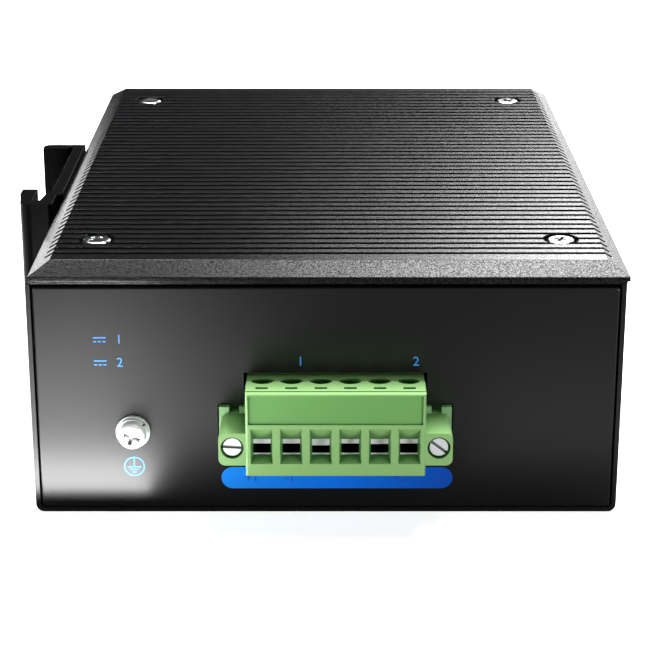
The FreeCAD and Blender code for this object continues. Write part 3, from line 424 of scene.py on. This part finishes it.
finishNodes = {
    "texturedPowderCoat": ("heat_sink_cover",),
    "sheetPowderCoat": ("case_chassis", "terminal_panel", "blank_panel"),
    "blackAnodised": ("din_rail_clip",),
    "brightNickel": ("cover_screws",),
    "satinNickel": ("cover_pillars", "board_standoffs", "base_screws", "panel_screws", "clip_screws",
                    "earth_screw", "earth_flat_washer", "flange_screws"),
    "brightZinc": ("earth_spring_washer", "earth_nut", "clip_nuts", "clamp_screws"),
    "clampPlate": ("wire_clamps",),
    "terminalNylon": ("terminal_plug",),
    "headerNylon": ("terminal_header",),
    "tinnedSheet": ("header_pins", "jack_shield", "module_cages", "crystal"),
    "giltBronze": ("jack_contacts",),
    "blackResin": ("jack_housing", "module_connectors", "switch_chip", "transformers", "input_fuse",
                   "power_controller", "power_switches"),
    "clearAcrylic": ("light_pipes",),
    "lampWhite": ("lamp_chips",),
    "greySilicone": ("thermal_pads",),
    "milledAluminium": ("heat_block",),
    "shrunkSleeve": ("capacitors",),
    "pressedFerrite": ("inductors",),
    "solderMask": ("circuit_board",),
}

for finish, nodeNames in finishNodes.items():
    for nodeName in nodeNames:
        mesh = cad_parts[nodeName].data
        mesh.materials.clear()
        mesh.materials.append(finishes[finish])
print("finishes on", sum(len(nodeNames) for nodeNames in finishNodes.values()), "nodes")


# printed marks
inkDepth = 0.03 * mm


def linked(name, data):
    # a new object, put into the scene
    item = bpy.data.objects.new(name, data)
    bpy.context.collection.objects.link(item)
    return item


def finalMesh(holder):
    # the plain mesh that a holder's curve or modifier gives; the holder itself goes
    bpy.context.view_layer.update()
    shown = holder.evaluated_get(bpy.context.evaluated_depsgraph_get())
    mesh = bpy.data.meshes.new_from_object(shown)
    bpy.data.objects.remove(holder)
    return mesh


def addPiece(name, mesh, finish):
    piece = linked(name, mesh)
    mesh.materials.clear()
    mesh.materials.append(finishes[finish])
    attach(piece, "root")
    return piece


def meshFromFaces(name, outlines, depth):
    # flat outlines in XY, given a thickness along Z
    shape = bmesh.new()
    for outline in outlines:
        face = shape.faces.new([shape.verts.new((x, y, 0)) for x, y in outline])
        grown = bmesh.ops.extrude_face_region(shape, geom=[face])
        top = [item for item in grown["geom"] if isinstance(item, bmesh.types.BMVert)]
        bmesh.ops.translate(shape, verts=top, vec=(0, 0, depth))
    bmesh.ops.recalc_face_normals(shape, faces=shape.faces)
    mesh = bpy.data.meshes.new(name)
    shape.to_mesh(mesh)
    shape.free()
    return mesh


def digitsMesh(text, height):
    # plain numerals as a thin raised mesh, centred on the origin
    numeralShare = 0.72    # height of a numeral, as a share of the font's size
    curve = bpy.data.curves.new("digits", "FONT")
    curve.body = text
    curve.size = height / numeralShare
    curve.extrude = inkDepth / 2
    curve.align_x = "CENTER"
    curve.align_y = "CENTER"
    return finalMesh(linked("digits", curve))


def ontoEndPanel(mesh, x, z, lift=0.0):
    # turns an XY drawing upright on the end panel with the terminal
    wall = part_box("terminal_panel")[0][1]
    turn = Matrix.Rotation(math.radians(90), 4, "X")
    mesh.transform(Matrix.Translation(Vector((x, wall - lift, z))) @ turn)
    return mesh


def ontoFrontWall(mesh, y, z):
    # turns an XY drawing upright on the wall with the network ports
    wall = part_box("case_chassis")[1][0]
    turn = Matrix.Rotation(math.radians(90), 4, "Z") @ Matrix.Rotation(math.radians(90), 4, "X")
    mesh.transform(Matrix.Translation(Vector((wall, y, z))) @ turn)
    return mesh


def bar(x, y, width, height):
    # outline of a rectangle about (x, y)
    return [(x - width / 2, y - height / 2), (x + width / 2, y - height / 2),
            (x + width / 2, y + height / 2), (x - width / 2, y + height / 2)]


def ringPieces(radius, stroke, steps=48):
    # a ring as short four-cornered outlines
    pieces = []
    for step in range(steps):
        a, b = (math.tau * (step + k) / steps for k in (0, 1))
        outer, inner = radius, radius - stroke
        corners = ((outer, a), (outer, b), (inner, b), (inner, a))
        pieces.append([(reach * math.cos(angle), reach * math.sin(angle)) for reach, angle in corners])
    return pieces


earthPrint = {
    "radius": 1.85 * mm,
    "stroke": 0.22 * mm,
    "drop": 6.8 * mm,         # below the earth screw
    "stem": (0.4, 0.9),       # middle and length, in radii
    "bars": ((-0.05, 1.3), (-0.31, 0.85), (-0.57, 0.4)),    # level and width of each, in radii
}


def earthSign():
    radius, stroke = earthPrint["radius"], earthPrint["stroke"]
    drawing = ringPieces(radius, stroke)
    stemLevel, stemLength = earthPrint["stem"]
    drawing.append(bar(0, radius * stemLevel, stroke, radius * stemLength))
    for level, width in earthPrint["bars"]:
        drawing.append(bar(0, radius * level, radius * width, stroke))
    low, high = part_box("earth_screw")
    mesh = meshFromFaces("earthSign", drawing, inkDepth)
    ontoEndPanel(mesh, (low[0] + high[0]) / 2, (low[2] + high[2]) / 2 - earthPrint["drop"])
    addPiece("earthSign", mesh, "skyInk")


bandPrint = {
    "length": 41.2 * mm,
    "height": 4.1 * mm,
    "lift": 6.6 * mm,         # middle of the band above the base
    "shift": 0.3 * mm,        # past the plug's middle
    "endSteps": 16,
    "digitHeight": 1.7 * mm,
    "feeds": (("feedOnePlus", "+1", -15.2 * mm), ("feedOneMinus", "-1", -8.4 * mm),
              ("feedTwoPlus", "+2", 11.2 * mm), ("feedTwoMinus", "-2", 17.6 * mm)),
}


def terminalBand():
    low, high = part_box("terminal_plug")
    middle = (low[0] + high[0]) / 2 + bandPrint["shift"]
    radius = bandPrint["height"] / 2
    half = bandPrint["length"] / 2 - radius
    steps = bandPrint["endSteps"]
    outline = []
    for side, start in ((1, -90), (-1, 90)):
        for step in range(steps + 1):
            angle = math.radians(start + 180 * step / steps)
            outline.append((side * half + radius * math.cos(angle), radius * math.sin(angle)))
    mesh = meshFromFaces("terminalBand", [outline], inkDepth)
    addPiece("terminalBand", ontoEndPanel(mesh, middle, bandPrint["lift"]), "bandInk")
    # polarity of each feed, printed over the band and half hidden below the plug
    for name, text, x in bandPrint["feeds"]:
        mesh = digitsMesh(text, bandPrint["digitHeight"])
        ontoEndPanel(mesh, middle + x, bandPrint["lift"], inkDepth)
        addPiece(name, mesh, "navyInk")


polePrint = {
    "height": 1.75 * mm,
    "lift": 28.65 * mm,
    "places": (("1", -6.1 * mm), ("2", 14.1 * mm)),    # from the plug's middle
}


def poleDigits():
    low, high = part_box("terminal_plug")
    middle = (low[0] + high[0]) / 2
    for text, x in polePrint["places"]:
        mesh = digitsMesh(text, polePrint["height"])
        ontoEndPanel(mesh, middle + x, polePrint["lift"])
        addPiece("poleDigit" + text, mesh, "skyInk")


ratingPrint = {
    "shift": -2.9 * mm,       # from the earth screw's left side
    "digitStep": 3.4 * mm,
    "digitHeight": 1.75 * mm,
    "lifts": (("1", 32.75 * mm), ("2", 28.45 * mm)),
    "width": 2.2 * mm,
    "stroke": 0.24 * mm,
    "rise": 1.5,              # line above and dashes below the middle, in strokes
    "dashStep": 0.37,         # in widths of the sign
    "dashWidth": 0.24,
}


def ratingMarks():
    # direct-current sign and a plain number in each of two rows
    look = ratingPrint
    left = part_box("earth_screw")[0][0] + look["shift"]
    width, stroke = look["width"], look["stroke"]
    rise = stroke * look["rise"]
    for text, lift in look["lifts"]:
        bars = [bar(0, rise, width, stroke)]
        for step in (-1, 0, 1):
            bars.append(bar(step * width * look["dashStep"], -rise, width * look["dashWidth"], stroke))
        sign = meshFromFaces("directSign", bars, inkDepth)
        addPiece("directSign" + text, ontoEndPanel(sign, left, lift), "skyInk")
        mesh = digitsMesh(text, look["digitHeight"])
        addPiece("rating" + text, ontoEndPanel(mesh, left + look["digitStep"], lift), "skyInk")


portPrint = {"height": 2.0 * mm, "off": 2.6 * mm, "columns": 4}


def portDigits():
    # odd ports above the jacks, even ports below them
    low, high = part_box("jack_shield")
    pitch = (high[1] - low[1]) / portPrint["columns"]
    for column in range(portPrint["columns"]):
        y = low[1] + pitch * (column + 0.5)
        for row, z in enumerate((high[2] + portPrint["off"], low[2] - portPrint["off"])):
            text = str(2 * column + row + 1)
            mesh = ontoFrontWall(digitsMesh(text, portPrint["height"]), y, z)
            addPiece("portDigit" + text, mesh, "whiteInk")


# rows of small parts, made by one node tree
def rowTree(finish):
    # a row of small blocks: how many, where the first stands, the step and the block's size
    tree = bpy.data.node_groups.new("rowOfBlocks", "GeometryNodeTree")
    sockets = {}
    for label, kind in (("Count", "NodeSocketInt"), ("First", "NodeSocketVector"),
                        ("Step", "NodeSocketVector"), ("Size", "NodeSocketVector")):
        sockets[label] = tree.interface.new_socket(label, in_out="INPUT", socket_type=kind).identifier
    tree.interface.new_socket("Blocks", in_out="OUTPUT", socket_type="NodeSocketGeometry")
    given = addNode(tree, "NodeGroupInput").outputs
    line = addNode(tree, "GeometryNodeMeshLine", {"Count": given["Count"], "Start Location": given["First"],
                                                  "Offset": given["Step"]})
    block = addNode(tree, "GeometryNodeMeshCube", {"Size": given["Size"]})
    rows = addNode(tree, "GeometryNodeInstanceOnPoints", {"Points": line.outputs["Mesh"],
                                                          "Instance": block.outputs["Mesh"]})
    real = addNode(tree, "GeometryNodeRealizeInstances", {"Geometry": rows.outputs["Instances"]})
    dressed = addNode(tree, "GeometryNodeSetMaterial", {"Geometry": real.outputs["Geometry"],
                                                        "Material": finishes[finish]})
    addNode(tree, "NodeGroupOutput", {"Blocks": dressed.outputs["Geometry"]})
    return tree, sockets


def rowMesh(name, grown, count, first, step, size):
    # the blocks that a row tree grows from these values, as a plain mesh
    tree, sockets = grown
    holder = linked(name, bpy.data.meshes.new(name))
    modifier = holder.modifiers.new("rows", "NODES")
    modifier.node_group = tree
    for label, value in (("Count", count), ("First", first), ("Step", step), ("Size", size)):
        modifier[sockets[label]] = value
    return finalMesh(holder)


lead = {"out": 0.9 * mm, "along": 0.42 * mm, "up": 0.25 * mm}
transformerRows = {"width": 12.0 * mm, "count": 4, "leads": 8, "step": 1.27 * mm}
controllerRows = {"leads": 11, "step": 0.72 * mm}


def transformerLeads():
    grown = rowTree("tinnedSheet")
    low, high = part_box("transformers")
    width, count = transformerRows["width"], transformerRows["count"]
    pitch = (high[1] - low[1] - width) / (count - 1)
    reach = (transformerRows["leads"] - 1) / 2 * transformerRows["step"]
    for index in range(count):
        first = low[1] + width / 2 + index * pitch - reach
        for side, x in (("Back", low[0] - lead["out"] / 2), ("Front", high[0] + lead["out"] / 2)):
            name = "transformerLeads" + side + str(index + 1)
            mesh = rowMesh(name, grown, transformerRows["leads"], (x, first, low[2] + lead["up"] / 2),
                           (0, transformerRows["step"], 0), (lead["out"], lead["along"], lead["up"]))
            addPiece(name, mesh, "tinnedSheet")


def controllerLeads():
    grown = rowTree("tinnedSheet")
    low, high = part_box("power_controller")
    out, along, up = lead["out"], lead["along"], lead["up"]
    reach = (controllerRows["leads"] - 1) / 2 * controllerRows["step"]
    x, y = (low[0] + high[0]) / 2, (low[1] + high[1]) / 2
    z = low[2] + up / 2
    sides = (("Rear", (low[0] - out / 2, y - reach, z), (0, 1, 0), (out, along, up)),
             ("Front", (high[0] + out / 2, y - reach, z), (0, 1, 0), (out, along, up)),
             ("Near", (x - reach, low[1] - out / 2, z), (1, 0, 0), (along, out, up)),
             ("Far", (x - reach, high[1] + out / 2, z), (1, 0, 0), (along, out, up)))
    for side, first, way, size in sides:
        name = "controllerLeads" + side
        step = [axis * controllerRows["step"] for axis in way]
        mesh = rowMesh(name, grown, controllerRows["leads"], first, step, size)
        addPiece(name, mesh, "tinnedSheet")


statusRow = {
    "count": 8, "pitch": 3.1 * mm, "pipeRadius": 1.0 * mm,
    "gap": 1.3 * mm,          # between a light pipe and the middle of its tick
    "tick": (0.03 * mm, 1.3 * mm, 0.25 * mm),
}


def lightMarks():
    # a printed tick beside each status light
    low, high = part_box("light_pipes")
    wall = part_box("case_chassis")[1][0]
    radius, tick = statusRow["pipeRadius"], statusRow["tick"]
    first = (wall + tick[0] / 2, (low[1] + high[1]) / 2 - radius - statusRow["gap"], high[2] - radius)
    mesh = rowMesh("lightMarks", rowTree("whiteInk"), statusRow["count"], first,
                   (0, 0, -statusRow["pitch"]), tick)
    addPiece("lightMarks", mesh, "whiteInk")


earthSign()
terminalBand()
poleDigits()
ratingMarks()
portDigits()
lightMarks()
transformerLeads()
controllerLeads()
print("printed marks and small parts placed")


# floor, lights and camera; lengths are in metres where nothing else is said
floorLook = {"side": 3.0, "dim": "4A4A4A", "white": "F6F6F6", "glow": 0.78, "rough": 0.9}


def stageFloor():
    side = floorLook["side"]
    mesh = bpy.data.meshes.new("studioFloor")
    corners = [(-side, -side, 0), (side, -side, 0), (side, side, 0), (-side, side, 0)]
    mesh.from_pydata(corners, [], [(0, 1, 2, 3)])
    material, tree, shader = newMaterial("studioPaper")[:3]
    # white to the camera, dim to reflections, so that black coats stay black
    seen = addNode(tree, "ShaderNodeLightPath").outputs["Is Camera Ray"]
    feed(tree, shader, {
        "Base Color": mixed(tree, seen, floorLook["dim"], floorLook["white"]),
        "Roughness": floorLook["rough"],
        "Specular IOR Level": 0.0,
        "Emission Color": linearColour("FFFFFF"),
        "Emission Strength": spread(tree, seen, 0.0, floorLook["glow"]),
    })
    mesh.materials.append(material)
    floor = linked("studioFloor", mesh)


worldLook = {"dim": 0.02, "seen": 1.0}


def studioWorld():
    # white to the camera, nearly black to everything else
    world = bpy.data.worlds.new("studio")
    bpy.context.scene.world = world
    world.use_nodes = True
    tree = world.node_tree
    tree.nodes.clear()
    seen = addNode(tree, "ShaderNodeLightPath").outputs["Is Camera Ray"]
    strength = spread(tree, seen, worldLook["dim"], worldLook["seen"])
    back = addNode(tree, "ShaderNodeBackground", {"Color": linearColour("FFFFFF"), "Strength": strength})
    addNode(tree, "ShaderNodeOutputWorld", {"Surface": back.outputs["Background"]})


# soft boxes round the part
softBoxes = {
    "overheadKey": {"place": (0.185, 0.12, 0.62), "aim": (0.0, -0.06, 0.03), "size": (0.33, 0.08),
                    "radiance": 92.0},
    "overheadLeft": {"place": (-0.14, 0.12, 0.62), "aim": (0.0, -0.06, 0.03), "size": (0.26, 0.08),
                     "radiance": 28.0},
    "frontRight": {"place": (0.66, -0.8, 0.13), "aim": (0.0, -0.07, 0.03), "size": (0.3, 0.24),
                   "radiance": 24.0},
    "frontLeft": {"place": (-0.66, -0.8, 0.13), "aim": (0.0, -0.07, 0.03), "size": (0.3, 0.24),
                  "radiance": 16.0},
    "backHigh": {"place": (-0.17, 0.32, 0.5), "aim": (-0.04, -0.03, 0.04), "size": (0.24, 0.2),
                 "radiance": 5.0},
    "leftBack": {"place": (-0.56, 0.88, 0.06), "aim": (0.0, 0.0, 0.03), "size": (0.5, 0.2),
                 "radiance": 2.6},
    "rightBackLow": {"place": (0.5, 0.9, 0.035), "aim": (0.0, 0.0, 0.035), "size": (0.55, 0.16),
                     "radiance": 2.5},
    "rightBackHigh": {"place": (0.235, 1.05, 0.53), "aim": (0.0, 0.0, 0.04), "size": (0.48, 0.4),
                      "radiance": 3.0, "roll": 40.0},
    "rightBackCore": {"place": (0.335, 1.05, 0.56), "aim": (0.0, 0.0, 0.04), "size": (0.36, 0.36),
                      "radiance": 10.5, "roll": 40.0},
}

# glowing cards that lie on the floor and grade the upright walls above them
floorCards = {
    "lift": 0.002,
    "cards": {
        "leftCard": {"middle": (-0.056, -0.135), "size": (0.032, 0.08), "radiance": 5.8},
        "leftCardEdge": {"middle": (-0.028, -0.12), "size": (0.024, 0.05), "radiance": 2.4},
        "leftCardFoot": {"middle": (-0.051, -0.084), "size": (0.038, 0.016), "radiance": 22.0},
        "rightCard": {"middle": (0.07, -0.115), "size": (0.09, 0.05), "radiance": 0.6},
        "sideCard": {"middle": (-0.15, 0.0), "size": (0.07, 0.17), "radiance": 3.0},
        "farCard": {"middle": (0.0, 0.15), "size": (0.1, 0.07), "radiance": 2.0},
    },
}

# ceiling strips that grade the cover's near bevel, each from left edge to right edge
bevelGlow = {
    "y": -0.043,
    "height": 0.62,
    "depth": 0.13,
    "strips": (
        {"left": -0.2, "right": -0.07, "radiance": 0.6},
        {"left": -0.07, "right": -0.03, "radiance": 1.8},
        {"left": -0.03, "right": 0.015, "radiance": 4.6},
        {"left": 0.015, "right": 0.05, "radiance": 9.2},
        {"left": 0.05, "right": 0.17, "radiance": 13.0},
    ),
}


def softLight(name, place, aim, size, radiance, roll=0.0):
    # a soft box of a given brightness, whatever its size; roll is in degrees
    lamp = bpy.data.lights.new(name, "AREA")
    lamp.shape = "RECTANGLE"
    lamp.size, lamp.size_y = size
    lamp.energy = radiance * math.pi * size[0] * size[1]
    holder = linked(name, lamp)
    holder.location = place
    facing = (Vector(aim) - Vector(place)).to_track_quat("-Z", "Y")
    holder.rotation_euler = (facing @ Quaternion((0, 0, 1), math.radians(roll))).to_euler()
    holder.visible_camera = False


def levelLight(name, middle, height, facing, size, radiance):
    # a level box that faces up (1) or down (-1); the slight lean keeps its sides along X and Y
    lean = 0.00001
    x, y = middle
    softLight(name, (x, y, height), (x, y - lean, height + facing), size, radiance)


def studioLights():
    for name, box in softBoxes.items():
        softLight(name, **box)
    for name, card in floorCards["cards"].items():
        levelLight(name, card["middle"], floorCards["lift"], 1, card["size"], card["radiance"])
    for index, strip in enumerate(bevelGlow["strips"]):
        middle = ((strip["left"] + strip["right"]) / 2, bevelGlow["y"])
        size = (strip["right"] - strip["left"], bevelGlow["depth"])
        levelLight("bevelGlow" + str(index + 1), middle, bevelGlow["height"], -1, size, strip["radiance"])


view = {
    "place": (0.35, -393.2, 148.25),    # millimetres
    "pitch": 19.277,                    # degrees below the horizon
    "lensMm": 109.2798,
    "sensorMm": 36.0,
    "shift": -0.006955,                 # share of the frame's width
    "clipStart": 0.01,
}


def camera():
    data = bpy.data.cameras.new("camera")
    data.sensor_width = view["sensorMm"]
    data.lens = view["lensMm"]
    data.shift_x = view["shift"]
    data.clip_start = view["clipStart"]
    holder = linked("camera", data)
    holder.location = [value * mm for value in view["place"]]
    holder.rotation_euler = (math.radians(90 - view["pitch"]), 0, 0)
    bpy.context.scene.camera = holder


stageFloor()
studioWorld()
studioLights()
camera()
bpy.context.scene.view_settings.view_transform = "Standard"
print("stage, lights and camera set")
